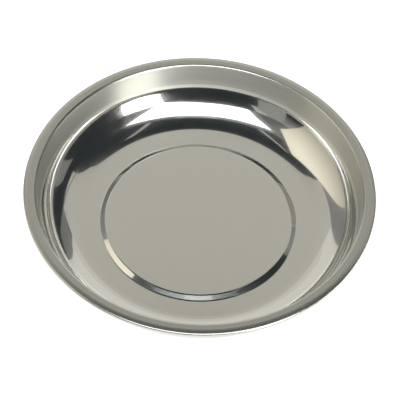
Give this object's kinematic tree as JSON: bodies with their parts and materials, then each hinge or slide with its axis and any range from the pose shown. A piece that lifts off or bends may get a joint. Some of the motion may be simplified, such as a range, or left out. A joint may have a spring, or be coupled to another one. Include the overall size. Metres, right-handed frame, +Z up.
{
  "type": "magnetic parts tray",
  "caption": "Round polished steel dish with a satin wall and a turned-down rim on a rubber-covered ring magnet, for holding loose screws and small parts while it clings to steel.",
  "frame": {"origin": "centre of the rubber face that the tray rests on", "axes": "+Z up along the dish's axis, out of its mouth; X and Y lie in the resting plane"},
  "size_m": [0.15, 0.15, 0.0374],
  "materials": {
    "stainless_steel": "polished bowl and floor, satin wall and lip",
    "plated_steel": "bright zinc plating",
    "spring_steel": "dull grey plating",
    "ferrite": "matt sintered ferrite",
    "black_rubber": "matt moulded rubber"
  },
  "bodies": {
    "root": {"dish": "stainless_steel", "weld_stud": "plated_steel", "backing_plate": "plated_steel", "ring_magnet": "ferrite", "rubber_boot": "black_rubber", "flat_washer": "plated_steel", "spring_washer": "spring_steel", "hex_nut": "plated_steel"}
  },
  "joints": []
}
